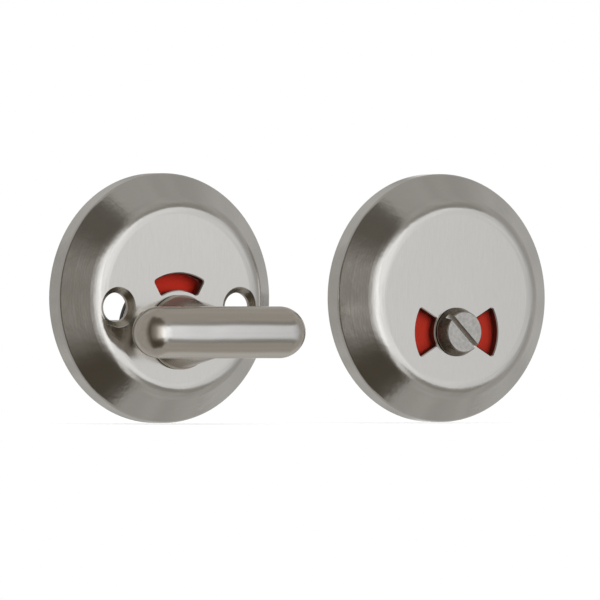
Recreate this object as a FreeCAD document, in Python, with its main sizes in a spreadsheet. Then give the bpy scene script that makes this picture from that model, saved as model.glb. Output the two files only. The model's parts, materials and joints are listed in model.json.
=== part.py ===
"""Bathroom thumb turn lock: an inside rose with its turn and an outside rose with its release.

Frame, in millimetres: +X right, +Z up, and both roses face -Y with their backs on the door plane y = 0.
The origin is the centre of the inside rose on that plane. A "height" below is measured from the door
plane towards the front, and what goes into the door has a negative height.
"""
import FreeCAD
import Part
import Sketcher
import math
import os

Vector = FreeCAD.Vector
Rotation = FreeCAD.Rotation

# Driving dimensions
SIZES = (
    # Roses
    ("rose_radius", 26.0),
    ("rose_height", 9.6),
    ("rim_height", 3.9),
    ("face_radius", 19.6),
    ("face_fillet", 5.6),
    ("rim_edge", 0.9),
    ("rose_wall", 2.0),
    ("pair_spacing", 69.0),
    ("turn_drop", 7.1),
    # Screw holes of the inside rose and posts of the outside rose
    ("screw_drop", 1.9),
    ("screw_hole_radius", 3.05),
    ("countersink_radius", 4.25),
    ("countersink_angle", 90.0),
    ("boss_radius", 4.6),
    ("boss_recess", 1.0),
    ("post_radius", 3.5),
    ("post_seat", 5.0),
    ("post_reach", 8.0),
    ("post_bore_radius", 2.1),
    ("post_bore_depth", 12.0),
    ("post_chamfer", 0.5),
    # Windows and indicator discs
    ("window_angle", 60.0),
    ("inside_window_inner", 8.75),
    ("outside_window_inner", 5.6),
    ("window_overlap", 0.3),
    ("window_edge", 0.2),
    ("window_corner", 0.5),
    ("inside_disc_depth", 3.0),
    ("outside_disc_depth", 2.2),
    ("disc_thickness", 1.0),
    ("field_thickness", 0.3),
    ("field_angle", 89.0),
    # Thumb turn
    ("bar_length", 40.8),
    ("bar_radius", 5.4),
    ("bar_height", 15.2),
    ("dome_length", 5.5),
    ("stem_root_radius", 7.45),
    ("stem_tip_radius", 4.95),
    ("stem_fillet", 2.0),
    ("collar_radius", 7.75),
    ("collar_thickness", 0.9),
    ("collar_edge", 0.25),
    ("turn_journal_radius", 5.0),
    ("bush_wall", 1.3),
    ("bush_flange_radius", 6.9),
    ("bush_flange_thickness", 0.25),
    # Release knob
    ("knob_radius", 5.1),
    ("knob_front_radius", 4.3),
    ("knob_projection", 3.1),
    ("knob_chamfer", 0.2),
    ("slot_width", 1.1),
    ("slot_depth", 1.6),
    ("knob_journal_radius", 4.35),
    ("release_washer_radius", 4.8),
    ("release_washer_thickness", 0.2),
    # Shafts, washers, rings and spindles of both halves
    ("flat_depth", 0.8),
    ("spring_margin", 3.0),
    ("spring_height", 1.0),
    ("spring_thickness", 0.4),
    ("washer_margin", 2.6),
    ("washer_thickness", 0.6),
    ("ring_margin", 1.3),
    ("ring_thickness", 1.0),
    ("ring_opening", 50.0),
    ("ring_lug_radius", 1.3),
    ("ring_lug_hole", 0.6),
    ("groove_depth", 0.35),
    ("tail_reach", 1.0),
    ("spindle_side", 5.0),
    ("spindle_reach", 19.0),
    ("spindle_socket", 5.5),
    ("spindle_chamfer", 0.6),
    ("pin_radius", 1.0),
    ("pin_recess", 0.2),
    # Clearances
    ("disc_clearance", 0.26),
    ("boss_clearance", 0.675),
    ("running_clearance", 0.05),
    ("axial_play", 0.05),
    ("seat_clearance", 0.02),
)

# Sizes that follow from others: the screws stay under the flat face, and each disc with its window
# fills the room that the wall or the bosses leave it
DERIVED = (
    ("screw_spacing", "=2 * (face_radius - boss_radius)"),
    ("screw_reach", "=sqrt((screw_spacing / 2) ^ 2 + (turn_drop - screw_drop) ^ 2)"),
    ("outside_window_outer", "=screw_reach - boss_radius - boss_clearance - window_overlap"),
    ("bevel_run", "=(rose_radius - face_radius) / (rose_height - rim_height)"),
    ("hollow_top", "=face_radius - rose_wall * tan(atan(1 / bevel_run) / 2)"),
    ("hollow_at_disc", "=hollow_top + (inside_disc_depth - rose_wall) * bevel_run"),
    ("inside_window_outer", "=hollow_at_disc - turn_drop - window_overlap - disc_clearance"),
)

# Angles on the front of a rose, seen from the front: right is 0 and up is 90 degrees
RIGHT = 0
UP = 90
SLOT_ANGLE = -45
FULL_TURN = 360
# How far a cutting profile runs past the face that it leaves
CUT_PAST = 1.0
# How close two measures of an edge have to be to count as equal
NEAR = 1e-4
# Points looked at along an edge
EDGE_POINTS = 9

doc = FreeCAD.newDocument("thumb_turn_lock")
sheet = doc.addObject("Spreadsheet::Sheet", "Sizes")
for row, (size_name, size_value) in enumerate(SIZES + DERIVED, 1):
    sheet.set(f"A{row}", size_name)
    sheet.set(f"B{row}", str(size_value))
    sheet.setAlias(f"B{row}", size_name)
doc.recompute()
SIZE_NAMES = [size_name for size_name, size_value in SIZES + DERIVED]
parts = []


# Expressions

def sized(text):
    """An expression in which every size's name refers to the sheet."""
    words = []
    word = ""
    for letter in text + " ":
        if letter.isalnum() or letter == "_":
            word += letter
            continue
        words.append("Sizes." + word if word in SIZE_NAMES else word)
        words.append(letter)
        word = ""
    return "".join(words).strip()


def bind(thing, **expressions):
    """Bind properties of an object to expressions of the sizes; __ in a name stands for a dot."""
    for name, text in expressions.items():
        thing.setExpression(name.replace("__", "."), sized(text))


# Bodies and sketches

def new_body(label, x="0", z="0"):
    """A body whose own Y axis is the axis of a rose or of a turn, at x and z on the door plane."""
    body = doc.addObject("PartDesign::Body", label)
    body.Label = label
    body.AllowCompound = True
    bind(body, Placement__Base__x=x, Placement__Base__z=z)
    parts.append(body)
    return body


def origin_plane(body, role):
    return next(feature for feature in body.Origin.OriginFeatures if feature.Role == role)


def cross_sketch(body, name, height, drop="0", turned=0):
    """A sketch parallel to the door: x is right and y is up, seen from the front."""
    sketch = body.newObject("Sketcher::SketchObject", name)
    sketch.AttachmentSupport = [(origin_plane(body, "XZ_Plane"), "")]
    sketch.MapMode = "FlatFace"
    sketch.AttachmentOffset = FreeCAD.Placement(Vector(), Rotation(Vector(0, 0, 1), turned))
    bind(sketch, AttachmentOffset__Base__y=f"-({drop})", AttachmentOffset__Base__z=height)
    return sketch


def section_sketch(body, name, direction=RIGHT, drop="0"):
    """A sketch through the axis: x is the radius towards a direction on the face, y is the height."""
    sketch = body.newObject("Sketcher::SketchObject", name)
    sketch.AttachmentSupport = [(origin_plane(body, "XZ_Plane"), "")]
    sketch.MapMode = "FlatFace"
    turn = Rotation(Vector(0, 0, 1), direction).multiply(Rotation(Vector(1, 0, 0), 90))
    sketch.AttachmentOffset = FreeCAD.Placement(Vector(), turn)
    bind(sketch, AttachmentOffset__Base__y=f"-({drop})")
    return sketch


def pin_point(sketch, geometry, place, x, y):
    """Fix one point of a sketch at two expressions."""
    rough = sketch.getPoint(geometry, place)
    for kind, axis, text, value in (("DistanceX", -2, x, rough.x), ("DistanceY", -1, y, rough.y)):
        if text == "0":
            sketch.addConstraint(Sketcher.Constraint("PointOnObject", geometry, place, axis))
            continue
        number = sketch.addConstraint(Sketcher.Constraint(kind, -1, 1, geometry, place, value))
        sketch.setExpression(f"Constraints[{number}]", sized(text))


def add_outline(sketch, points):
    """A closed outline of straight lines through points given as expressions."""
    first = sketch.GeometryCount
    count = len(points)
    rough = [Vector(math.cos(math.tau * i / count), math.sin(math.tau * i / count), 0) for i in range(count)]
    for i in range(count):
        sketch.addGeometry(Part.LineSegment(rough[i], rough[(i + 1) % count]))
    for i in range(count):
        following = first + (i + 1) % count
        sketch.addConstraint(Sketcher.Constraint("Coincident", first + i, 2, following, 1))
    for i, (x, y) in enumerate(points):
        pin_point(sketch, first + i, 1, x, y)


def add_box(sketch, x_low, x_high, y_low, y_high):
    add_outline(sketch, ((x_low, y_low), (x_high, y_low), (x_high, y_high), (x_low, y_high)))


def add_circle(sketch, radius, x="0", y="0"):
    circle = sketch.addGeometry(Part.Circle(Vector(), Vector(0, 0, 1), 1.0))
    pin_point(sketch, circle, 3, x, y)
    number = sketch.addConstraint(Sketcher.Constraint("Radius", circle, 1.0))
    sketch.setExpression(f"Constraints[{number}]", sized(radius))


# Features

def pad(body, sketch, length):
    """Add from the sketch towards the front."""
    feature = body.newObject("PartDesign::Pad", sketch.Name + "_pad")
    feature.Profile = sketch
    bind(feature, Length=length)
    return feature


def pocket(body, sketch, length):
    """Cut from the sketch towards the door."""
    feature = body.newObject("PartDesign::Pocket", sketch.Name + "_pocket")
    feature.Profile = sketch
    bind(feature, Length=length)
    return feature


def revolve(body, sketch, angle=str(FULL_TURN), kind="Revolution"):
    """Turn a section sketch about its axis, half of the angle to each side."""
    feature = body.newObject("PartDesign::" + kind, sketch.Name + "_turned")
    feature.Profile = sketch
    feature.ReferenceAxis = (sketch, ["V_Axis"])
    feature.Midplane = True
    bind(feature, Angle=angle)
    return feature


def repeat_opposite(body, feature, sketch):
    """Repeat a feature on the other side of its sketch's axis."""
    pattern = body.newObject("PartDesign::PolarPattern", feature.Name + "_opposite")
    pattern.Originals = [feature]
    pattern.Axis = (sketch, ["V_Axis"])
    pattern.Angle = FULL_TURN
    pattern.Occurrences = 2
    body.Tip = pattern
    return pattern


def dress(body, kind, base, edges, **sizes):
    """A Fillet or Chamfer on named edges of the feature before it."""
    feature = body.newObject("PartDesign::" + kind, f"{body.Name}_{kind}_{len(body.Group)}")
    feature.Base = (base, edges)
    bind(feature, **sizes)
    return feature


def ring_edges(feature, radius, height):
    """Names of the full circles of a radius about the body's own axis at a height."""
    found = []
    for number, edge in enumerate(feature.Shape.Edges, 1):
        if edge.Curve.TypeId != "Part::GeomCircle":
            continue
        offset = edge.Curve.Center - Vector(0, -height, 0)
        if offset.Length < NEAR and abs(edge.Curve.Radius - radius) < NEAR:
            found.append(f"Edge{number}")
    return found


def level_edges(feature, height):
    """Names of the straight edges that lie at one height."""
    found = []
    for number, edge in enumerate(feature.Shape.Edges, 1):
        level = all(abs(vertex.Point.y + height) < NEAR for vertex in edge.Vertexes)
        if level and edge.Curve.TypeId == "Part::GeomLine":
            found.append(f"Edge{number}")
    return found


def turn_distance(point):
    """How far a point of a rose is from the axis of the turn."""
    return math.hypot(point.x, point.z + sheet.turn_drop)


def window_corners(feature, inner, outer):
    """Names of the edges that run through the face at the corners of the windows."""
    found = []
    for number, edge in enumerate(feature.Shape.Edges, 1):
        if edge.Curve.TypeId != "Part::GeomLine" or abs(edge.Curve.Direction.y) < 1 - NEAR:
            continue
        distance = turn_distance(edge.Vertexes[0].Point)
        if min(abs(distance - inner), abs(distance - outer)) < NEAR:
            found.append(f"Edge{number}")
    return found


def window_edges(feature, inner, outer):
    """Names of the edges around the windows on the front of a rose."""
    found = []
    for number, edge in enumerate(feature.Shape.Edges, 1):
        points = edge.discretize(EDGE_POINTS)
        level = all(abs(point.y + sheet.rose_height) < NEAR for point in points)
        if level and all(inner - NEAR < turn_distance(point) < outer + NEAR for point in points):
            found.append(f"Edge{number}")
    return found


# Roses

BEVEL = "atan(1 / bevel_run)"


def rose_shell(label, x):
    """The hollow turned form that both roses share: rim, bevel and flat face over an even wall."""
    body = new_body(label, x)
    profile = section_sketch(body, label + "_profile")
    add_outline(profile, (
        ("rose_radius - rose_wall", "0"),
        ("rose_radius", "0"),
        ("rose_radius", "rim_height"),
        ("face_radius", "rose_height"),
        ("0", "rose_height"),
        ("0", "rose_height - rose_wall"),
        ("hollow_top", "rose_height - rose_wall"),
        ("rose_radius - rose_wall", f"rim_height - rose_wall * tan(45 deg - {BEVEL} / 2)"),
    ))
    shell = revolve(body, profile)
    doc.recompute()
    face_edge = ring_edges(shell, sheet.face_radius, sheet.rose_height)
    soft_face = dress(body, "Fillet", shell, face_edge, Radius="face_fillet")
    doc.recompute()
    rim_edge = ring_edges(soft_face, sheet.rose_radius, sheet.rim_height)
    dress(body, "Fillet", soft_face, rim_edge, Radius="rim_edge")
    doc.recompute()
    return body


def cut_window(body, direction, inner, outer):
    """An arc window through the face, about the axis of the turn."""
    profile = section_sketch(body, f"{body.Name}_window", direction, "turn_drop")
    low = f"rose_height - rose_wall - {CUT_PAST}"
    high = f"rose_height + {CUT_PAST}"
    add_box(profile, inner, outer, low, high)
    return profile, revolve(body, profile, "window_angle", "Groove")


def finish_windows(body, windows, inner, outer):
    """Round the corners of the windows and break their edges on the face."""
    corners = window_corners(windows, inner, outer)
    rounded = dress(body, "Fillet", windows, corners, Radius="window_corner")
    doc.recompute()
    dress(body, "Chamfer", rounded, window_edges(rounded, inner, outer), Size="window_edge")


def cut_bore(body, radius):
    """The bore of the turn through the face."""
    bore = cross_sketch(body, f"{body.Name}_bore", "rose_height", "turn_drop")
    add_circle(bore, radius)
    pocket(body, bore, f"rose_wall + {CUT_PAST}")


def inside_rose():
    body = rose_shell("inside_rose", "0")
    holes = cross_sketch(body, "inside_rose_screws", "rose_height")
    for side in ("-", ""):
        add_circle(holes, "screw_hole_radius", f"{side}screw_spacing / 2", "-screw_drop")
    doc.recompute()
    drilled = body.newObject("PartDesign::Hole", "inside_rose_countersinks")
    drilled.Profile = holes
    drilled.DepthType = "ThroughAll"
    drilled.HoleCutType = "Countersink"
    drilled.HoleCutCustomValues = True
    bind(drilled, Diameter="2 * screw_hole_radius", HoleCutDiameter="2 * countersink_radius",
         HoleCutCountersinkAngle="countersink_angle")
    cut_bore(body, BUSH_RADIUS + " + seat_clearance")
    profile, window = cut_window(body, UP, "inside_window_inner", "inside_window_outer")
    doc.recompute()
    finish_windows(body, window, sheet.inside_window_inner, sheet.inside_window_outer)
    return body


def outside_rose():
    body = rose_shell("outside_rose", "pair_spacing")
    bosses = cross_sketch(body, "outside_rose_bosses", "boss_recess")
    sockets = cross_sketch(body, "outside_rose_sockets", "boss_recess + post_seat")
    for side in ("-", ""):
        add_circle(bosses, "boss_radius", f"{side}screw_spacing / 2", "-screw_drop")
        add_circle(sockets, "post_radius + seat_clearance", f"{side}screw_spacing / 2", "-screw_drop")
    pad(body, bosses, "rose_height - rose_wall / 2 - boss_recess")
    pocket(body, sockets, f"post_seat + {CUT_PAST}")
    cut_bore(body, "knob_journal_radius + running_clearance")
    profile, window = cut_window(body, RIGHT, "outside_window_inner", "outside_window_outer")
    doc.recompute()
    windows = repeat_opposite(body, window, profile)
    doc.recompute()
    finish_windows(body, windows, sheet.outside_window_inner, sheet.outside_window_outer)
    return body


def fixing_post(label, side):
    """A tapped post, pressed into its boss and standing into the door."""
    body = new_body(label, f"pair_spacing {side} screw_spacing / 2", "-screw_drop")
    profile = section_sketch(body, label + "_profile")
    add_outline(profile, (
        ("0", "boss_recess + post_seat"),
        ("post_radius - post_chamfer", "boss_recess + post_seat"),
        ("post_radius", "boss_recess + post_seat - post_chamfer"),
        ("post_radius", "post_chamfer - post_reach"),
        ("post_radius - post_chamfer", "-post_reach"),
        ("post_bore_radius + post_chamfer", "-post_reach"),
        ("post_bore_radius", "post_chamfer - post_reach"),
        ("post_bore_radius", "post_bore_depth - post_reach"),
        ("0", "post_bore_depth - post_reach"),
    ))
    revolve(body, profile)
    return body


# The line of pieces on each shaft, from the indicator disc back towards the door

class Shaft:
    """Names and heights of what one turning shaft carries, as expressions of the sizes."""

    def __init__(self, side, x, journal, window_outer):
        self.side = side
        self.x = x
        self.journal = journal
        self.disc_radius = f"({window_outer} + window_overlap)"
        self.disc_front = f"(rose_height - {side}_disc_depth)"
        self.disc_back = f"({self.disc_front} - disc_thickness)"
        self.spring_back = f"({self.disc_back} - spring_height)"
        self.washer_back = f"({self.spring_back} - washer_thickness)"
        self.ring_back = f"({self.washer_back} - ring_thickness)"
        self.groove_back = f"({self.ring_back} - axial_play)"
        self.groove_radius = f"({journal} - groove_depth)"
        self.flat = f"({journal} - flat_depth)"
        self.pin_height = f"(({self.groove_back} - tail_reach) / 2)"
        self.socket_end = "(spindle_socket - tail_reach)"

    def body(self, piece):
        return new_body(f"{self.side}_{piece}", self.x, "-turn_drop")

    def tail_points(self, shoulder):
        """The shaft's outline from a shoulder's height down to its end in the door."""
        return (
            (self.journal, shoulder),
            (self.journal, self.washer_back),
            (self.groove_radius, self.washer_back),
            (self.groove_radius, self.groove_back),
            (self.journal, self.groove_back),
            (self.journal, "-tail_reach"),
            ("0", "-tail_reach"),
        )

    def cut_tail(self, body):
        """The two flats, the square socket and the cross hole at the back of a shaft."""
        flats = cross_sketch(body, f"{self.side}_flats", self.disc_front)
        wide = f"({self.journal} + {CUT_PAST})"
        add_box(flats, f"-{wide}", wide, self.flat, wide)
        add_box(flats, f"-{wide}", wide, f"-{wide}", f"-{self.flat}")
        pocket(body, flats, f"{self.disc_front} + tail_reach + {CUT_PAST}")
        socket = cross_sketch(body, f"{self.side}_socket", self.socket_end)
        half = "(spindle_side / 2 + seat_clearance)"
        add_box(socket, f"-{half}", half, f"-{half}", half)
        pocket(body, socket, f"spindle_socket + {CUT_PAST}")
        self.cut_pin_hole(body)

    def cut_pin_hole(self, body):
        """The cross hole for the pin, straight up and down through the axis."""
        across = section_sketch(body, f"{body.Name}_pin_hole")
        add_circle(across, "pin_radius + seat_clearance", "0", self.pin_height)
        hole = pocket(body, across, f"2 * ({self.journal} + {CUT_PAST})")
        hole.Midplane = True

    def make_disc(self, fields_towards):
        """The keyed disc and the two red fields in its front."""
        body = self.body("disc")
        plate = cross_sketch(body, f"{self.side}_plate", self.disc_back)
        add_circle(plate, self.disc_radius)
        add_circle(plate, f"{self.journal} + seat_clearance")
        pad(body, plate, "disc_thickness")
        keys = cross_sketch(body, f"{self.side}_keys", self.disc_back)
        key_inner = f"({self.flat} + seat_clearance)"
        key_outer = f"({self.journal} + disc_thickness)"
        add_box(keys, f"-{self.journal}", self.journal, key_inner, key_outer)
        add_box(keys, f"-{self.journal}", self.journal, f"-{key_outer}", f"-{key_inner}")
        pad(body, keys, "disc_thickness")
        self.add_fields(body, fields_towards, "Groove", self.disc_front + f" + {CUT_PAST}")
        fields = self.body("red_fields")
        self.add_fields(fields, fields_towards, "Revolution", self.disc_front)

    def add_fields(self, body, towards, kind, top):
        """Two opposite arc fields, cut or solid, about the axis."""
        profile = section_sketch(body, f"{body.Name}_field", towards)
        bottom = f"{self.disc_front} - field_thickness"
        inner = f"{self.side}_window_inner - window_overlap"
        add_box(profile, inner, f"{self.disc_radius} - window_overlap / 2", bottom, top)
        field = revolve(body, profile, "field_angle", kind)
        doc.recompute()
        repeat_opposite(body, field, profile)

    def make_spring(self):
        """A washer bent about one line, which bears with its middle and its two edges."""
        label = f"{self.side}_spring_washer"
        outer = f"({self.journal} + spring_margin)"
        past_outer = f"({outer} + {CUT_PAST})"
        rise = "(spring_height - spring_thickness)"
        bend = f"(({outer} ^ 2 + {rise} ^ 2) / (2 * {rise}))"
        sheet_edges = []
        for name, radius in (("outer", f"{bend} + spring_thickness"), ("inner", bend)):
            round_bar = doc.addObject("Part::Cylinder", f"{label}_bend_{name}")
            round_bar.Placement.Rotation = Rotation(Vector(0, 1, 0), 90)
            bind(round_bar, Radius=radius, Height=f"2 * {past_outer}",
                 Placement__Base__x=f"{self.x} - {past_outer}",
                 Placement__Base__y=f"{bend} + spring_thickness - {self.disc_back}",
                 Placement__Base__z="-turn_drop")
            sheet_edges.append(round_bar)
        discs = []
        for name, radius in (("rim", outer), ("hole", f"{self.journal} + running_clearance")):
            round_bar = doc.addObject("Part::Cylinder", f"{label}_{name}")
            round_bar.Placement.Rotation = Rotation(Vector(1, 0, 0), -90)
            bind(round_bar, Radius=radius, Height=f"spring_height + 2 * {CUT_PAST}",
                 Placement__Base__x=self.x, Placement__Base__y=f"-{self.disc_back} - {CUT_PAST}",
                 Placement__Base__z="-turn_drop")
            discs.append(round_bar)
        shapes = []
        for name, (base, tool) in (("curve", sheet_edges), ("flat", discs)):
            cut = doc.addObject("Part::Cut", f"{label}_{name}")
            cut.Base = base
            cut.Tool = tool
            shapes.append(cut)
        spring = doc.addObject("Part::Common", label)
        spring.Label = label
        spring.Base, spring.Tool = shapes
        parts.append(spring)

    def make_washer(self):
        body = self.body("washer")
        plate = cross_sketch(body, f"{self.side}_washer_plate", self.washer_back)
        add_circle(plate, f"{self.journal} + washer_margin")
        add_circle(plate, f"{self.journal} + running_clearance")
        pad(body, plate, "washer_thickness")

    def make_ring(self):
        """An open ring, its gap pointing left, with a lug and a pliers hole at each end."""
        body = self.body("ring")
        profile = section_sketch(body, f"{self.side}_ring_profile")
        add_box(profile, f"{self.groove_radius} + seat_clearance", f"{self.journal} + ring_margin",
                self.ring_back, self.washer_back)
        revolve(body, profile, f"{FULL_TURN} - ring_opening")
        lugs = cross_sketch(body, f"{self.side}_ring_lugs", self.ring_back)
        holes = cross_sketch(body, f"{self.side}_ring_holes", self.washer_back)
        reach = f"({self.journal} + ring_margin)"
        across = f"-{reach} * cos(ring_opening * 1 deg / 2)"
        for side in ("-", ""):
            aside = f"{side}({reach} * sin(ring_opening * 1 deg / 2) + ring_lug_radius)"
            add_circle(lugs, "ring_lug_radius", across, aside)
            add_circle(holes, "ring_lug_hole", across, aside)
        pad(body, lugs, "ring_thickness")
        pocket(body, holes, f"ring_thickness + {CUT_PAST}")

    def make_spindle(self):
        body = self.body("spindle")
        square = cross_sketch(body, f"{self.side}_square", "-spindle_reach")
        add_box(square, "-spindle_side / 2", "spindle_side / 2", "-spindle_side / 2", "spindle_side / 2")
        bar = pad(body, square, f"spindle_reach + {self.socket_end}")
        doc.recompute()
        tip = level_edges(bar, -sheet.spindle_reach)
        dress(body, "Chamfer", bar, tip, Size="spindle_chamfer")
        self.cut_pin_hole(body)

    def make_pin(self):
        label = f"{self.side}_pin"
        pin = doc.addObject("Part::Cylinder", label)
        pin.Label = label
        half = f"({self.flat} - pin_recess)"
        bind(pin, Radius="pin_radius", Height=f"2 * {half}", Placement__Base__x=self.x,
             Placement__Base__y=f"-{self.pin_height}", Placement__Base__z=f"-turn_drop - {half}")
        parts.append(pin)

    def make_line(self, fields_towards):
        self.make_disc(fields_towards)
        self.make_spring()
        self.make_washer()
        self.make_ring()
        self.make_spindle()
        self.make_pin()


INSIDE = Shaft("inside", "0", "turn_journal_radius", "inside_window_outer")
OUTSIDE = Shaft("outside", "pair_spacing", "knob_journal_radius", "outside_window_outer")


# Thumb turn

BUSH_RADIUS = "(turn_journal_radius + running_clearance + bush_wall)"
COLLAR_BACK = "(rose_height + bush_flange_thickness + axial_play)"
COLLAR_FRONT = f"({COLLAR_BACK} + collar_thickness)"
BAR_AXIS = "(rose_height + bar_height)"


def inside_bush():
    """The bush sits in the bore of the rose, with its flange between the face and the collar."""
    body = new_body("inside_bush", "0", "-turn_drop")
    profile = section_sketch(body, "bush_profile")
    inner = "turn_journal_radius + running_clearance"
    back = f"{INSIDE.disc_front} + axial_play"
    front = "rose_height + bush_flange_thickness"
    add_outline(profile, (
        (inner, back),
        (BUSH_RADIUS, back),
        (BUSH_RADIUS, "rose_height"),
        ("bush_flange_radius", "rose_height"),
        ("bush_flange_radius", front),
        (inner, front),
    ))
    revolve(body, profile)


def thumb_turn():
    """One casting: a round bar with domed ends on a tapered stem, with the shaft behind the collar."""
    body = new_body("thumb_turn", "0", "-turn_drop")
    profile = section_sketch(body, "turn_profile")
    add_outline(profile, (
        ("0", BAR_AXIS),
        ("stem_tip_radius", BAR_AXIS),
        ("stem_root_radius", COLLAR_FRONT),
        ("collar_radius", f"{COLLAR_FRONT} - collar_edge"),
        ("collar_radius", COLLAR_BACK),
    ) + INSIDE.tail_points(COLLAR_BACK))
    revolve(body, profile)
    straight = "(bar_length / 2 - dome_length)"
    bar = body.newObject("PartDesign::AdditiveCylinder", "turn_bar")
    bar.Placement.Rotation = Rotation(Vector(0, 1, 0), 90)
    bind(bar, Radius="bar_radius", Height=f"2 * {straight}", Placement__Base__x=f"-{straight}",
         Placement__Base__y=f"-{BAR_AXIS}")
    doc.recompute()
    meeting = [f"Edge{number}" for number, edge in enumerate(bar.Shape.Edges, 1)
               if edge.Curve.TypeId == "Part::GeomBSplineCurve"]
    dress(body, "Fillet", bar, meeting, Radius="stem_fillet")
    doc.recompute()
    for name, way in (("right", 1), ("left", -1)):
        dome = body.newObject("PartDesign::AdditiveEllipsoid", "turn_dome_" + name)
        dome.Placement.Rotation = Rotation(Vector(0, 1, 0), 90 * way)
        dome.Angle1 = 0
        dome.Angle2 = 90
        bind(dome, Radius1="dome_length", Radius2="bar_radius", Radius3="bar_radius",
             Placement__Base__x=f"{way} * {straight}", Placement__Base__y=f"-{BAR_AXIS}")
    INSIDE.cut_tail(body)


# Release knob

KNOB_FRONT = "(rose_height + knob_projection)"
KNOB_BACK = "(rose_height + release_washer_thickness + axial_play)"


def release_washer():
    body = new_body("release_washer", "pair_spacing", "-turn_drop")
    plate = cross_sketch(body, "release_washer_plate", "rose_height")
    add_circle(plate, "release_washer_radius")
    add_circle(plate, "knob_journal_radius + running_clearance")
    pad(body, plate, "release_washer_thickness")


def release_knob():
    """A turned knob that tapers to a slotted front, and the shaft behind it."""
    body = new_body("release_knob", "pair_spacing", "-turn_drop")
    profile = section_sketch(body, "knob_profile")
    add_outline(profile, (
        ("0", KNOB_FRONT),
        ("knob_front_radius - knob_chamfer", KNOB_FRONT),
        ("knob_front_radius", f"{KNOB_FRONT} - knob_chamfer"),
        ("knob_radius", f"{KNOB_BACK} + knob_chamfer"),
        ("knob_radius", KNOB_BACK),
    ) + OUTSIDE.tail_points(KNOB_BACK))
    revolve(body, profile)
    slot = cross_sketch(body, "knob_slot", KNOB_FRONT, turned=SLOT_ANGLE)
    long_half = f"(knob_radius + {CUT_PAST})"
    add_box(slot, f"-{long_half}", long_half, "-slot_width / 2", "slot_width / 2")
    pocket(body, slot, "slot_depth")
    OUTSIDE.cut_tail(body)


def main():
    inside_rose()
    inside_bush()
    thumb_turn()
    INSIDE.make_line(UP)
    outside_rose()
    release_washer()
    release_knob()
    OUTSIDE.make_line(RIGHT)
    fixing_post("fixing_post_left", "-")
    fixing_post("fixing_post_right", "+")
    doc.recompute()

    for thing in doc.Objects:
        if "Invalid" in thing.State or "Error" in thing.State:
            raise RuntimeError(f"{thing.Label} failed: {thing.State}")
    os.makedirs("parts", exist_ok=True)
    for part in parts:
        if part.Shape.isNull() or not part.Shape.isValid() or not part.Shape.Solids:
            raise RuntimeError(f"{part.Label} has no sound solid")
        part.Shape.exportStep(f"parts/{part.Label}.step")
        print(f"{part.Label}: {len(part.Shape.Solids)} solid, {part.Shape.Volume:.1f} mm3")


main()
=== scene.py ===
"""Looks of the bathroom thumb turn lock: satin metal, red indicator fields, studio light and camera."""
import json
import math

import bpy
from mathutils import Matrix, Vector


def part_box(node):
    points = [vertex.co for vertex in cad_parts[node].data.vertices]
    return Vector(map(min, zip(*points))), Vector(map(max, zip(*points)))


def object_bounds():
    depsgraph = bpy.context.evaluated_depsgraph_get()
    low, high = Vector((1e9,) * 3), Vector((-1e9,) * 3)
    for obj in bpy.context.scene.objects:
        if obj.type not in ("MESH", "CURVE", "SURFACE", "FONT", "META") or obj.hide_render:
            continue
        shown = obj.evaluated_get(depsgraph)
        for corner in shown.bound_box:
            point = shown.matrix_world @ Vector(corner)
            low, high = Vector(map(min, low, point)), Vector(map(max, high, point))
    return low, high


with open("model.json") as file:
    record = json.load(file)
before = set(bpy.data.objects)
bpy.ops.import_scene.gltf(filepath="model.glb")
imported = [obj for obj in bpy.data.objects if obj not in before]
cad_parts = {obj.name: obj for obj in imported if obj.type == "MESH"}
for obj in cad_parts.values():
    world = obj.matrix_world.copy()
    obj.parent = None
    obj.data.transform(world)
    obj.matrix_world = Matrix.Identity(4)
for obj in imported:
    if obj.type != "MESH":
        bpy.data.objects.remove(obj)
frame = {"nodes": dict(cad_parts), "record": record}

CAD_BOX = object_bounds()
NODES = frame["nodes"]
MOUNTS = {mount["name"]: mount for mount in frame["record"]["mounts"]}
SLOTS = {row["node"]: row["material_slot"] for row in frame["record"]["subparts"]}
MILLIMETRE = 0.001

# Camera, at the angle of the photograph
CAMERA_AZIMUTH = math.radians(-33.0)
CAMERA_DISTANCE = 5.2
SENSOR_WIDTH = 36.0
FRAME_WIDTH = 0.1254
AIM = Vector((0.03612, 0.0, -0.0004))

# Lengths of the part that its finishes follow, in metres
FACE_HEIGHT = -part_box("inside_rose")[0].y
KNOB_HEIGHT = -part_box("release_knob")[0].y
BAR_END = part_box("thumb_turn")[1].x
STEM_TOP = FACE_HEIGHT + 0.0085
FLAT_RADIUS = 0.0172
SINK_RADIUS = 0.0042
HOLLOW_RADIUS = 0.0245
RIM_DEPTH = 0.0036
BOSS_REACH = 0.0198
FACE_WALL = 0.0019
KNOB_FRONT_RADIUS = 0.0043
RECESS_REACH = 0.003

# How far under a face its polish reaches, and the widths over which one finish turns into the next
FACE_SKIN = 0.0001
KNOB_SKIN = 0.0003
FACE_FADE = 0.0003
EDGE_FADE = 0.0002
BEVEL_FADE = 0.003
STEM_FADE = 0.002
KNOB_EDGE = 0.00005
PAINT_EDGE = 0.00003

# Studio
STUDIO_CENTRE = Vector((0.034, 0.0, 0.0))
TENT_CENTRE = Vector((0.034, -0.01, 0.0))
TENT_RADIUS = 1.2
WORLD_LIGHT = 0.45
FLOOR_LEVEL = CAD_BOX[0].z - 0.0002
FLOOR_SIZE = 30.0
FLOOR_PALE = (0.85, 0.85, 0.85, 1)
FLOOR_NEAR = 0.12
FLOOR_FAR = 0.6
FLOOR_GLOW = 0.6


# Node helpers

# Most values of a noise lie between these
NOISE_LOW = 0.3
NOISE_HIGH = 0.7


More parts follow.
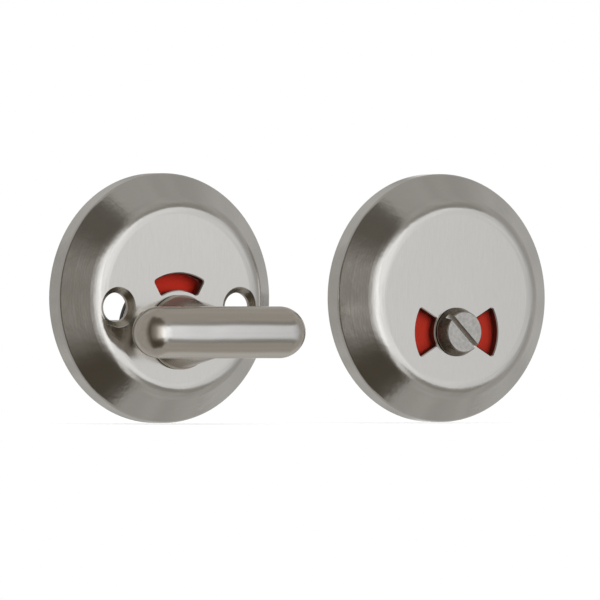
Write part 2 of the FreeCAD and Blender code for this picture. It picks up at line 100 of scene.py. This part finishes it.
class Tree:
    """A node tree, with short calls for the nodes that the materials share."""

    def __init__(self, tree):
        self.nodes = tree.nodes
        self.links = tree.links

    def add(self, kind, **settings):
        node = self.nodes.new(kind)
        for name, value in settings.items():
            setattr(node, name, value)
        return node

    def feed(self, socket, value):
        """Link a socket to another, or set its value."""
        if isinstance(value, bpy.types.NodeSocket):
            self.links.new(value, socket)
        else:
            socket.default_value = value

    def math(self, operation, first, second=0.0):
        node = self.add("ShaderNodeMath", operation=operation)
        self.feed(node.inputs[0], first)
        self.feed(node.inputs[1], second)
        return node.outputs[0]

    def ramp(self, value, low, high, out_low=0.0, out_high=1.0, smooth=True):
        """A value mapped from one range to another, held at both ends."""
        node = self.add("ShaderNodeMapRange", interpolation_type="SMOOTHSTEP" if smooth else "LINEAR")
        for socket, given in zip(node.inputs, (value, low, high, out_low, out_high)):
            self.feed(socket, given)
        return node.outputs[0]

    def below(self, value, edge, fade):
        """One for values under an edge, falling to zero just before it."""
        return self.ramp(value, edge - fade, edge, 1.0, 0.0)

    def spread(self, noise, low=0.0, high=1.0):
        """The usual values of a noise mapped to a range."""
        return self.ramp(noise, NOISE_LOW, NOISE_HIGH, low, high)

    def mix(self, factor, first, second):
        """A colour between two others."""
        node = self.add("ShaderNodeMix", data_type="RGBA")
        self.feed(node.inputs["Factor"], factor)
        for socket, given in zip((node.inputs[6], node.inputs[7]), (first, second)):
            self.feed(socket, given)
        return node.outputs[2]

    def noise(self, place, scale, stretch=(1, 1, 1), detail=2.0, roughness=0.5):
        """Noise at a place, in cells per metre, with a stretch along each axis."""
        mapping = self.add("ShaderNodeMapping")
        self.feed(mapping.inputs["Vector"], place)
        mapping.inputs["Scale"].default_value = stretch
        node = self.add("ShaderNodeTexNoise")
        self.feed(node.inputs["Vector"], mapping.outputs[0])
        node.inputs["Scale"].default_value = scale
        node.inputs["Detail"].default_value = detail
        node.inputs["Roughness"].default_value = roughness
        return node.outputs[0]

    def bump(self, height, amount, over=None):
        """A bumped normal, by an amount of depth in metres and strength, over another normal."""
        node = self.add("ShaderNodeBump")
        node.inputs["Distance"].default_value, node.inputs["Strength"].default_value = amount
        self.feed(node.inputs["Height"], height)
        if over is not None:
            self.feed(node.inputs["Normal"], over)
        return node.outputs[0]

    def place(self):
        """Where a point lies on its object."""
        return self.add("ShaderNodeTexCoord").outputs["Object"]

    def split(self, vector):
        """The three parts of a vector."""
        node = self.add("ShaderNodeSeparateXYZ")
        self.feed(node.inputs[0], vector)
        return node.outputs

    def facing(self):
        """Which way a surface faces: -1 to the front, 1 to the back."""
        return self.split(self.add("ShaderNodeTexCoord").outputs["Normal"])[1]

    def height(self, place):
        """How far a place stands in front of the door plane."""
        return self.math("MULTIPLY", self.split(place)[1], -1.0)

    def axis_distance(self, place, axis):
        """How far a place is from an axis that runs from front to back, given by its x and z."""
        centred = self.add("ShaderNodeVectorMath", operation="SUBTRACT")
        self.feed(centred.inputs[0], place)
        centred.inputs[1].default_value = (axis[0], 0.0, axis[1])
        flat = self.add("ShaderNodeVectorMath", operation="MULTIPLY")
        self.feed(flat.inputs[0], centred.outputs[0])
        flat.inputs[1].default_value = (1.0, 0.0, 1.0)
        length = self.add("ShaderNodeVectorMath", operation="LENGTH")
        self.feed(length.inputs[0], flat.outputs[0])
        return length.outputs["Value"]

    def surface(self, factor, first, second):
        """Make the surface a mix of two shaders."""
        node = self.add("ShaderNodeMixShader")
        for socket, given in zip(node.inputs, (factor, first.outputs[0], second.outputs[0])):
            self.feed(socket, given)
        self.links.new(node.outputs[0], self.nodes["Material Output"].inputs["Surface"])


def new_material(name):
    """A material, its tree and its main shader."""
    material = bpy.data.materials.new(name)
    material.use_nodes = True
    tree = Tree(material.node_tree)
    return material, tree, tree.nodes["Principled BSDF"]


def bare_material(name):
    """A material with no shader yet, and its tree."""
    material, tree, shader = new_material(name)
    tree.nodes.remove(shader)
    return material, tree


def source_of(socket):
    """What feeds a socket."""
    return socket.links[0].from_socket


# Materials

# Brushed directions
ALONG_X = 0
ALONG_Z = 2

# Satin metal of the roses
METAL_DARK = (0.64, 0.627, 0.603, 1)
METAL_LIGHT = (0.668, 0.655, 0.631, 1)
FACE_ROUGHNESS = 0.13
BEVEL_ROUGHNESS = 0.19
SATIN_SPREAD = 0.02
# Surfaces in the holes and windows and in the hollow back, which no polishing reaches. The holes and
# windows get a nearly black painted shade, the screw countersinks a lighter painted shade.
RECESS_SHADE = (0.15, 0.13, 0.105, 1)
COUNTERSINK_SHADE = (0.5, 0.46, 0.4, 1)
HOLLOW_DARK = (0.37, 0.355, 0.33, 1)
HOLLOW_LIGHT = (0.5, 0.485, 0.46, 1)
CAST_ROUGHNESS = 0.5
SINK_ROUGHNESS = 0.2
# Thumb turn: a painted highlight on the crest that fades along the bar, a painted brown reflection on the
# flanks, and painted shade on the back and the stem
CREST_HIGHLIGHT = (0.78, 0.775, 0.765, 1)
FADED_CREST_HIGHLIGHT = (0.54, 0.535, 0.525, 1)
CREST_HIGHLIGHT_SHARE = 0.75
FLANK_REFLECTION = (0.615, 0.575, 0.52, 1)
BEHIND_SHADE = (0.46, 0.42, 0.37, 1)
STEM_SHADE = (0.6, 0.555, 0.49, 1)
BAR_ROUGHNESS = 0.2
FLANK_ROUGHNESS = 0.22
STEM_ROUGHNESS = 0.32
# Release knob: a painted highlight on the slot's floor, and painted shade on the slot's walls and the
# knob's side
KNOB_DARK = (0.4, 0.39, 0.37, 1)
KNOB_LIGHT = (0.56, 0.545, 0.52, 1)
SLOT_FLOOR_HIGHLIGHT = (0.8, 0.78, 0.75, 1)
SLOT_WALL_SHADE = (0.25, 0.22, 0.18, 1)
KNOB_SIDE_SHADE_DARK = (0.2, 0.165, 0.13, 1)
KNOB_SIDE_SHADE_LIGHT = (0.37, 0.325, 0.265, 1)
KNOB_ROUGHNESS = (0.28, 0.36)
# The sum of its two noises mostly lies between these
KNOB_TONES = (0.75, 1.25)
# Steel and plastic of the small pieces
SPRING_STEEL = (0.3, 0.29, 0.28, 1)
PLATED_STEEL = (0.68, 0.68, 0.67, 1)
STEEL_SHADE = 0.9
PLASTIC_SHADE = 0.88
PLASTIC_SPREAD = 0.05
# Indicators
FIELD_RED = (0.43, 0.018, 0.007, 1)
# Darker than the inside red, as painted shade in the outside windows
OUTSIDE_SHADED_RED = (0.325, 0.018, 0.008, 1)
PAINT_DARK = (0.76, 0.76, 0.74, 1)
PAINT_LIGHT = (0.84, 0.84, 0.82, 1)
MOULDING = (0.03, 0.03, 0.03, 1)
PAINT_ROUGHNESS = (0.36, 0.46)
# Painted shade in the corners of the red fields: how dark it gets, and the occlusion over which it fades
PAINTED_CORNER_SHADE = 0.6
SHADED_TO_OPEN = (0.25, 0.75)

# Directions between which a surface turns from one finish to the next: -1 faces the front, 1 the back
TO_BACK = (0.1, 0.2)
TO_FLANK = (-0.985, -0.87)
TO_BEHIND = (0.0, 0.4)
TO_SIDE = (-0.8, -0.5)
PAINT_END = -0.6
PAINT_FADE = 0.2

# Marks in the finishes, in cells per metre
BRUSH_LINES = 11000
BRUSH_STRETCH = 0.05
SATIN_CLOUDS = 160
RING_WANDER = 250
WANDER_WIDTH = 0.0006
BEVEL_RINGS = 3000
BEVEL_RIPPLE = 420
CAST_BLOTCHES = 450
CAST_GRAIN = 2600
BAR_WAVES = 75
KNOB_RINGS = 9000
KNOB_MOTTLE = 1400
KNOB_STAIN = 2200
KNOB_CLOUDS = 500
STEEL_CLOUDS = 700
STEEL_GRAIN = 6000
PLASTIC_CLOUDS = 900
PLASTIC_GRAIN = 9000

# Bumps, as depth in metres and strength
BRUSH_BUMP = (0.00001, 0.05)
RING_BUMP = (0.00002, 0.32)
RIPPLE_BUMP = (0.00016, 0.3)
CAST_BUMP = (0.00012, 0.4)
WAVE_BUMP = (0.0008, 0.6)
KNOB_BUMP = (0.00001, 0.3)
STEEL_BUMP = (0.000003, 0.08)
PLASTIC_BUMP = (0.000004, 0.3)


def satin_metal(name, along, roughness):
    """Satin metal, finely brushed along one axis, with its tree and its main shader."""
    material, tree, shader = new_material(name)
    place = tree.place()
    stretch = [1.0, 1.0, 1.0]
    stretch[along] = BRUSH_STRETCH
    lines = tree.noise(place, BRUSH_LINES, stretch, detail=3.0, roughness=0.6)
    clouds = tree.noise(place, SATIN_CLOUDS, detail=3.0)
    gloss = tree.spread(clouds, roughness - SATIN_SPREAD, roughness + SATIN_SPREAD)
    shader.inputs["Metallic"].default_value = 1.0
    tree.feed(shader.inputs["Base Color"], tree.mix(tree.spread(lines), METAL_DARK, METAL_LIGHT))
    tree.feed(shader.inputs["Roughness"], gloss)
    tree.feed(shader.inputs["Normal"], tree.bump(lines, BRUSH_BUMP))
    return material, tree, shader


def ring_marks(tree, place, around, scale):
    """Fine uneven rings about an axis, as a lathe and polishing leave them."""
    wander = tree.math("MULTIPLY", tree.noise(place, RING_WANDER), WANDER_WIDTH)
    rings = tree.add("ShaderNodeTexNoise", noise_dimensions="1D")
    tree.feed(rings.inputs["W"], tree.math("ADD", around, wander))
    rings.inputs["Scale"].default_value = scale
    rings.inputs["Detail"].default_value = 3.0
    return rings.outputs[0]


def hollow_share(tree, height, from_centre):
    """One in the hollow back of a rose and on what faces backwards."""
    share = tree.ramp(tree.facing(), *TO_BACK)
    for radius, top in ((HOLLOW_RADIUS, RIM_DEPTH), (BOSS_REACH, FACE_HEIGHT - FACE_WALL)):
        within = tree.math("LESS_THAN", from_centre, radius)
        behind = tree.math("LESS_THAN", height, top)
        share = tree.math("MAXIMUM", share, tree.math("MULTIPLY", within, behind))
    return share


def rose_metal(name, centre_x, screws):
    """Satin metal that turns to rough casting in the holes and windows and behind the face, with painted
    shade in the holes, windows and countersinks.
    """
    material, tree, shader = satin_metal(name, ALONG_Z, FACE_ROUGHNESS)
    place = tree.place()
    height = tree.height(place)
    from_centre = tree.axis_distance(place, (centre_x, 0.0))
    sunk = 0.0
    for screw in screws:
        around = tree.axis_distance(place, screw)
        sunk = tree.math("MAXIMUM", sunk, tree.below(around, SINK_RADIUS, EDGE_FADE))
    low = tree.below(height, FACE_HEIGHT - FACE_SKIN, FACE_FADE)
    near = tree.below(from_centre, FLAT_RADIUS, EDGE_FADE)
    cast_and_shade = tree.math("MAXIMUM", tree.math("MULTIPLY", low, near), sunk)
    hollow = hollow_share(tree, height, from_centre)
    unpolished = tree.math("MAXIMUM", cast_and_shade, hollow)
    on_bevel = tree.ramp(from_centre, FLAT_RADIUS, FLAT_RADIUS + BEVEL_FADE)

    # Painted shade: the recesses of the face turn nearly black, the countersinks darker than the face
    colour = tree.mix(cast_and_shade, source_of(shader.inputs["Base Color"]), tree.mix(sunk, RECESS_SHADE, COUNTERSINK_SHADE))
    blotches = tree.spread(tree.noise(place, CAST_BLOTCHES, detail=5.0, roughness=0.6))
    colour = tree.mix(hollow, colour, tree.mix(blotches, HOLLOW_DARK, HOLLOW_LIGHT))
    tree.feed(shader.inputs["Base Color"], colour)

    depth_finish = tree.ramp(sunk, 0.0, 1.0, CAST_ROUGHNESS, SINK_ROUGHNESS)
    rough = tree.math("MULTIPLY", unpolished, depth_finish)
    rough = tree.math("MAXIMUM", rough, tree.math("MULTIPLY", on_bevel, BEVEL_ROUGHNESS))
    gloss = source_of(shader.inputs["Roughness"])
    tree.feed(shader.inputs["Roughness"], tree.math("MAXIMUM", gloss, rough))

    rings = tree.math("MULTIPLY", ring_marks(tree, place, from_centre, BEVEL_RINGS), on_bevel)
    ripple = tree.math("MULTIPLY", tree.noise(place, BEVEL_RIPPLE, detail=4.0), on_bevel)
    grain = tree.math("MULTIPLY", tree.noise(place, CAST_GRAIN, detail=3.0), unpolished)
    normal = source_of(shader.inputs["Normal"])
    for marks, amount in ((rings, RING_BUMP), (ripple, RIPPLE_BUMP), (grain, CAST_BUMP)):
        normal = tree.bump(marks, amount, normal)
    tree.feed(shader.inputs["Normal"], normal)
    return material


def turn_metal(name):
    """Satin metal, smoothest on the bar's crest and dullest on the stem, with a painted highlight along
    the crest that fades towards +x, a painted brown reflection on the flanks, and painted shade on the
    back and on the stem under the bar.
    """
    material, tree, shader = satin_metal(name, ALONG_X, BAR_ROUGHNESS)
    place = tree.place()
    facing = tree.facing()
    flank = tree.ramp(facing, *TO_FLANK)
    behind = tree.ramp(facing, *TO_BEHIND)
    stem = tree.below(tree.height(place), STEM_TOP, STEM_FADE)

    # Painted highlight on the crest, brightest at -x and fading towards +x
    along = tree.ramp(tree.split(place)[0], -BAR_END, BAR_END)
    crest = tree.mix(along, CREST_HIGHLIGHT, FADED_CREST_HIGHLIGHT)
    colour = tree.mix(CREST_HIGHLIGHT_SHARE, source_of(shader.inputs["Base Color"]), crest)
    # Painted brown reflection on the flanks, painted shade on the back and on the stem under the bar
    for share, other in ((flank, FLANK_REFLECTION), (behind, BEHIND_SHADE), (stem, STEM_SHADE)):
        colour = tree.mix(share, colour, other)
    tree.feed(shader.inputs["Base Color"], colour)

    gloss = source_of(shader.inputs["Roughness"])
    for share, roughness in ((flank, FLANK_ROUGHNESS), (stem, STEM_ROUGHNESS)):
        gloss = tree.math("MAXIMUM", gloss, tree.math("MULTIPLY", share, roughness))
    tree.feed(shader.inputs["Roughness"], gloss)

    waves = tree.noise(place, BAR_WAVES, detail=1.0)
    tree.feed(shader.inputs["Normal"], tree.bump(waves, WAVE_BUMP, source_of(shader.inputs["Normal"])))
    return material


def turned_metal(name, axis):
    """Turned metal with fine rings about its axis, duller than the roses, with painted shade on its side
    and its slot's walls and a painted highlight on its slot's floor.
    """
    material, tree, shader = new_material(name)
    place = tree.place()
    around = tree.axis_distance(place, axis)
    rings = ring_marks(tree, place, around, KNOB_RINGS)
    mottle = tree.noise(place, KNOB_MOTTLE, detail=4.0)
    tone = tree.ramp(tree.math("ADD", rings, mottle), *KNOB_TONES)
    recessed = tree.below(tree.height(place), KNOB_HEIGHT - KNOB_SKIN, EDGE_FADE)
    # Painted highlight on the slot's floor; painted shade on the slot's walls and on the knob's side
    front = tree.mix(recessed, tree.mix(tone, KNOB_DARK, KNOB_LIGHT), SLOT_FLOOR_HIGHLIGHT)
    outer = tree.ramp(around, KNOB_FRONT_RADIUS - EDGE_FADE, KNOB_FRONT_RADIUS - KNOB_EDGE)
    stain = tree.spread(tree.noise(place, KNOB_STAIN, detail=3.0))
    side = tree.mix(outer, SLOT_WALL_SHADE, tree.mix(stain, KNOB_SIDE_SHADE_DARK, KNOB_SIDE_SHADE_LIGHT))
    aside = tree.ramp(tree.facing(), *TO_SIDE)
    clouds = tree.noise(place, KNOB_CLOUDS, detail=3.0)
    shader.inputs["Metallic"].default_value = 1.0
    tree.feed(shader.inputs["Base Color"], tree.mix(aside, front, side))
    tree.feed(shader.inputs["Roughness"], tree.spread(clouds, *KNOB_ROUGHNESS))
    tree.feed(shader.inputs["Normal"], tree.bump(rings, KNOB_BUMP))
    return material


def shade(colour, share):
    """A darker shade of a colour."""
    return tuple(share * part for part in colour[:3]) + (1,)


def plain_metal(name, colour, smoothest, roughest):
    """Plated or oiled steel with a slightly uneven gloss."""
    material, tree, shader = new_material(name)
    place = tree.place()
    clouds = tree.noise(place, STEEL_CLOUDS, detail=4.0)
    shader.inputs["Metallic"].default_value = 1.0
    tree.feed(shader.inputs["Base Color"], tree.mix(clouds, shade(colour, STEEL_SHADE), colour))
    tree.feed(shader.inputs["Roughness"], tree.spread(clouds, smoothest, roughest))
    tree.feed(shader.inputs["Normal"], tree.bump(tree.noise(place, STEEL_GRAIN), STEEL_BUMP))
    return material


def moulded_plastic(name, colour, roughness, specular):
    """Plastic with a faint moulded grain, with its tree and its main shader."""
    material, tree, shader = new_material(name)
    place = tree.place()
    clouds = tree.noise(place, PLASTIC_CLOUDS, detail=3.0)
    shader.inputs["Specular IOR Level"].default_value = specular
    tree.feed(shader.inputs["Base Color"], tree.mix(clouds, shade(colour, PLASTIC_SHADE), colour))
    gloss = tree.spread(clouds, roughness - PLASTIC_SPREAD, roughness + PLASTIC_SPREAD)
    tree.feed(shader.inputs["Roughness"], gloss)
    tree.feed(shader.inputs["Normal"], tree.bump(tree.noise(place, PLASTIC_GRAIN), PLASTIC_BUMP))
    return material, tree, shader


def bearing_plastic(name):
    """Matt black plastic of the bush and the bearing washer."""
    return moulded_plastic(name, MOULDING, roughness=0.5, specular=0.4)[0]


def red_field(name, colour):
    """Red plastic with painted shade: darker in the corners that the edges of its window shade."""
    material, tree, shader = moulded_plastic(name, colour, roughness=0.55, specular=0.15)
    # Painted shade from ambient occlusion, darkening the red near the window's edges
    openness = tree.add("ShaderNodeAmbientOcclusion", samples=8)
    openness.inputs["Distance"].default_value = RECESS_REACH
    lit = tree.ramp(openness.outputs["AO"], *SHADED_TO_OPEN)
    red = source_of(shader.inputs["Base Color"])
    tree.feed(shader.inputs["Base Color"], tree.mix(lit, shade(colour, PAINTED_CORNER_SHADE), red))
    return material


def painted_disc(name, fields, axis):
    """A black moulding whose front is painted white, as far out as its red fields reach."""
    material, tree, shader = new_material(name)
    place = tree.place()
    far_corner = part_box(fields)[1]
    reach = max(far_corner.x - axis[0], far_corner.z - axis[1])
    inner = tree.below(tree.axis_distance(place, axis), reach + PAINT_EDGE, PAINT_EDGE)
    front = tree.below(tree.facing(), PAINT_END, PAINT_FADE)
    clouds = tree.noise(place, PLASTIC_CLOUDS, detail=3.0)
    paint = tree.mix(clouds, PAINT_DARK, PAINT_LIGHT)
    painted = tree.math("MULTIPLY", front, inner)
    tree.feed(shader.inputs["Base Color"], tree.mix(painted, MOULDING, paint))
    tree.feed(shader.inputs["Roughness"], tree.spread(clouds, *PAINT_ROUGHNESS))
    tree.feed(shader.inputs["Normal"], tree.bump(tree.noise(place, PLASTIC_GRAIN), PLASTIC_BUMP))
    return material


def axis_of(mount):
    """The x and z of a mount."""
    return MOUNTS[mount]["pos_m"][::2]


def slot_finishes():
    """The finish of each material slot that is the same wherever it is used."""
    return {
        "bearing_plastic": bearing_plastic("bearing_plastic"),
        "field_red": red_field("field_red", FIELD_RED),
        "spring_steel": plain_metal("spring_steel", SPRING_STEEL, smoothest=0.28, roughest=0.4),
        "plated_steel": plain_metal("plated_steel", PLATED_STEEL, smoothest=0.22, roughest=0.34),
    }


def node_finishes():
    """The finish of each node that has its own, from where its holes or its axis lie."""
    screw_x, screw_z = axis_of("inside_screws")
    half = MOUNTS["inside_screws"]["dims"]["spacing_x_mm"] * MILLIMETRE / 2
    screws = ((screw_x - half, screw_z), (screw_x + half, screw_z))
    turn = axis_of("inside_spindle_end")
    release = axis_of("outside_spindle_end")
    return {
        "inside_rose": rose_metal("inside_metal", screw_x, screws),
        "outside_rose": rose_metal("outside_metal", release[0], ()),
        "thumb_turn": turn_metal("turn_metal"),
        "release_knob": turned_metal("knob_metal", release),
        "inside_disc": painted_disc("inside_paint", "inside_red_fields", turn),
        "outside_disc": painted_disc("outside_paint", "outside_red_fields", release),
        # The red of the outside indicator is a little deeper in the photograph
        # It is painted darker than the inside red, as painted shade in its windows
        "outside_red_fields": red_field("deep_red", OUTSIDE_SHADED_RED),
    }


def finish_nodes():
    shared = slot_finishes()
    own = node_finishes()
    for name, thing in NODES.items():
        thing.data.materials.clear()
        thing.data.materials.append(own[name] if name in own else shared[SLOTS[name]])


# Studio

def background_share(tree):
    """One for rays that should see the white background: from the camera, and by way of metal or glass."""
    path = tree.add("ShaderNodeLightPath")
    seen = tree.math("MAXIMUM", path.outputs["Is Camera Ray"], path.outputs["Is Glossy Ray"])
    return tree.math("MAXIMUM", seen, path.outputs["Is Transmission Ray"])


def make_world():
    world = bpy.data.worlds.new("studio")
    bpy.context.scene.world = world
    world.use_nodes = True
    tree = Tree(world.node_tree)
    background = tree.nodes["Background"]
    background.inputs["Color"].default_value = (1, 1, 1, 1)
    strength = tree.ramp(background_share(tree), 0.0, 1.0, WORLD_LIGHT, 1.0, smooth=False)
    tree.feed(background.inputs["Strength"], strength)


def make_floor():
    """A pale floor that keeps the object's shadow and fades to white further out."""
    material, tree = bare_material("floor")
    pale = tree.add("ShaderNodeBsdfDiffuse")
    pale.inputs["Color"].default_value = FLOOR_PALE
    white = tree.add("ShaderNodeEmission")
    white.inputs["Strength"].default_value = 1.0
    from_object = tree.add("ShaderNodeVectorMath", operation="LENGTH")
    tree.feed(from_object.inputs[0], tree.place())
    glow = tree.ramp(from_object.outputs["Value"], FLOOR_NEAR, FLOOR_FAR, FLOOR_GLOW, 1.0)
    tree.surface(tree.math("MULTIPLY", background_share(tree), glow), pale, white)
    half = FLOOR_SIZE / 2
    corners = [(x * half, y * half, FLOOR_LEVEL) for x, y in ((-1, -1), (1, -1), (1, 1), (-1, 1))]
    mesh = bpy.data.meshes.new("floor")
    mesh.from_pydata(corners, [], [(0, 1, 2, 3)])
    mesh.materials.append(material)
    floor = bpy.data.objects.new("floor", mesh)
    # The metal sees the boards that stand round and under it, and not the floor beyond them
    floor.visible_glossy = False
    bpy.context.scene.collection.objects.link(floor)


# Boards round the object, as the metal sees them: azimuth from the front towards the left, and
# elevation, in degrees. Each edge is an angle and how softly it ends there. A board that leans has its
# azimuths at the given elevation, and reaches further right the nearer it is to the horizon.
BOARD_GREY = (0.42, 0.408, 0.388, 1)
BACK_WALL = (0.5, 0.49, 0.47, 1)
RIGHT_WALL = (0.5, 0.49, 0.475, 1)
LOW_BACK = (0.58, 0.575, 0.56, 1)
SURROUND = (0.31, 0.295, 0.27, 1)
SIDE_DARK = (0.1, 0.085, 0.062, 1)
NEAR_LIGHT = (0.47, 0.45, 0.42, 1)
NEAR_DARK = (0.22, 0.2, 0.17, 1)
UPPER_DARK = (0.118, 0.108, 0.09, 1)
LOWER_DARK = (0.078, 0.066, 0.049, 1)
REFLECTOR = (0.75, 0.74, 0.72, 1)
HIGH_REFLECTOR = (0.6, 0.59, 0.57, 1)
END_BRIGHT = (1.65, 1.65, 1.65, 1)
END_DIM = (0.45, 0.44, 0.43, 1)
FRONT_DIM = (0.55, 0.55, 0.55, 1)
FRONT_BRIGHT = (1.2, 1.2, 1.2, 1)
LEAN_ELEVATION = 64
BOARDS = {
    # lean, azimuth edges, elevation edges, colour where the azimuth is low, and where it is high
    "left back wall": (0, ((152, 8), (200, 8)), ((-60, 10), (60, 10)), BACK_WALL, BACK_WALL),
    "right back wall": (0, ((-200, 8), (-156, 4)), ((-60, 10), (60, 10)), BACK_WALL, BACK_WALL),
    "right wall": (0, ((-135, 10), (-98, 8)), ((-40, 10), (40, 10)), RIGHT_WALL, RIGHT_WALL),
    "low back board": (0, ((-152, 5), (-104, 5)), ((-61, 4), (-30, 6)), LOW_BACK, LOW_BACK),
    "surround": (0, ((-60, 6), (30, 6)), ((-40, 5), (40, 5)), SURROUND, SURROUND),
    "side board": (0, ((60, 10), (84, 13)), ((-71, 4), (68, 4)), SIDE_DARK, SIDE_DARK),
    "camera side": (0, ((24, 8), (60, 8)), ((-40, 14), (42, 14)), NEAR_LIGHT, NEAR_DARK),
    "upper dark board": (0.6, ((15, 4), (92, 12)), ((31, 13), (66, 3)), UPPER_DARK, UPPER_DARK),
    "lower dark board": (0.6, ((4, 7), (92, 12)), ((-71, 3), (-29, 13)), LOWER_DARK, LOWER_DARK),
    "low reflector": (0, ((-12, 6), (9, 6)), ((-41, 5), (-20, 5)), REFLECTOR, REFLECTOR),
    "high reflector": (0, ((-6, 6), (12, 6)), ((20, 5), (31, 8)), HIGH_REFLECTOR, HIGH_REFLECTOR),
    "softbox end": (0, ((4, 6), (43, 12)), ((-25, 4), (25, 4)), END_BRIGHT, END_DIM),
    "front softbox": (0, ((-68, 17), (8, 6)), ((-25, 4), (25, 4)), FRONT_DIM, FRONT_BRIGHT),
}
# The opening behind the object, through which the metal shows the white background
OPENING_AZIMUTHS = ((-148, 3), (-134, 4))
OPENING_ELEVATIONS = ((-16, 4), (16, 4))
# Folds of the cloth on the boards, in cells per metre, and how much they darken and lighten it
FOLDS = 5.0
FOLD_LIGHT = (0.88, 1.12)


def within_edges(tree, angle, edges):
    """One between two soft edges of an angle, falling to zero over them."""
    (low, low_soft), (high, high_soft) = edges
    rise = tree.ramp(angle, low - low_soft, low + low_soft)
    fall = tree.ramp(angle, high - high_soft, high + high_soft, 1.0, 0.0)
    return tree.math("MULTIPLY", rise, fall)


def make_tent():
    """Boards and softboxes round the object, seen only by way of the metal."""
    material, tree = bare_material("studio_boards")
    right, back, up = tree.split(tree.place())
    left = tree.math("MULTIPLY", right, -1.0)
    front = tree.math("MULTIPLY", back, -1.0)
    azimuth = tree.math("MULTIPLY", tree.math("ARCTAN2", left, front), math.degrees(1))
    elevation = tree.math("ARCSINE", tree.math("DIVIDE", up, TENT_RADIUS))
    elevation = tree.math("MULTIPLY", elevation, math.degrees(1))
    below_lean = tree.math("SUBTRACT", LEAN_ELEVATION, tree.math("ABSOLUTE", elevation))

    def window(across, azimuths, elevations):
        """One inside a range of both angles."""
        level = within_edges(tree, across, azimuths)
        return tree.math("MULTIPLY", level, within_edges(tree, elevation, elevations))

    colour = BOARD_GREY
    for lean, azimuths, elevations, low_colour, high_colour in BOARDS.values():
        across = tree.math("ADD", azimuth, tree.math("MULTIPLY", below_lean, lean)) if lean else azimuth
        along = tree.ramp(azimuth, azimuths[0][0], azimuths[1][0], smooth=False)
        board = tree.mix(along, low_colour, high_colour)
        colour = tree.mix(window(across, azimuths, elevations), colour, board)
    light = tree.add("ShaderNodeEmission")
    tree.feed(light.inputs["Color"], colour)
    folds = tree.noise(tree.place(), FOLDS, detail=3.0)
    tree.feed(light.inputs["Strength"], tree.spread(folds, *FOLD_LIGHT))
    open_air = tree.add("ShaderNodeBsdfTransparent")
    tree.surface(window(azimuth, OPENING_AZIMUTHS, OPENING_ELEVATIONS), light, open_air)

    bpy.ops.mesh.primitive_uv_sphere_add(segments=64, ring_count=32, radius=TENT_RADIUS)
    tent = bpy.context.object
    tent.name = "studio_boards"
    tent.location = TENT_CENTRE
    tent.data.materials.append(material)
    tent.visible_camera = False
    tent.visible_diffuse = False
    tent.visible_shadow = False


LAMPS = {
    # place, size in metres, power in watts
    "front_softbox": ((0.25, -0.9, 0.25), 0.7, 7.0),
    "top_softbox": ((0.0, -0.2, 1.0), 0.9, 8.0),
    "left_softbox": ((-0.9, -0.4, 0.3), 0.7, 3.0),
    "back_softbox": ((0.1, 0.9, 0.4), 0.8, 4.0),
}


def make_lamps():
    """Soft lamps for what isn't metal. The metal sees the boards instead."""
    for name, (place, size, power) in LAMPS.items():
        lamp = bpy.data.lights.new(name, "AREA")
        lamp.size = size
        lamp.energy = power
        thing = bpy.data.objects.new(name, lamp)
        thing.location = place
        towards = STUDIO_CENTRE - thing.location
        thing.rotation_euler = towards.to_track_quat("-Z", "Y").to_euler()
        thing.visible_camera = False
        thing.visible_glossy = False
        bpy.context.scene.collection.objects.link(thing)


def make_camera():
    """A level camera, far away, so that the two roses look alike."""
    camera = bpy.data.cameras.new("camera")
    camera.sensor_width = SENSOR_WIDTH
    camera.lens = SENSOR_WIDTH * CAMERA_DISTANCE / FRAME_WIDTH
    camera.clip_start = 0.1
    camera.clip_end = 100.0
    thing = bpy.data.objects.new("camera", camera)
    away = Vector((math.sin(CAMERA_AZIMUTH), -math.cos(CAMERA_AZIMUTH), 0.0))
    thing.location = AIM + away * CAMERA_DISTANCE
    thing.rotation_mode = "QUATERNION"
    thing.rotation_quaternion = (-away).to_track_quat("-Z", "Y")
    bpy.context.scene.collection.objects.link(thing)
    bpy.context.scene.camera = thing


finish_nodes()
make_world()
make_floor()
make_tent()
make_lamps()
make_camera()
bpy.context.scene.view_settings.view_transform = "Standard"
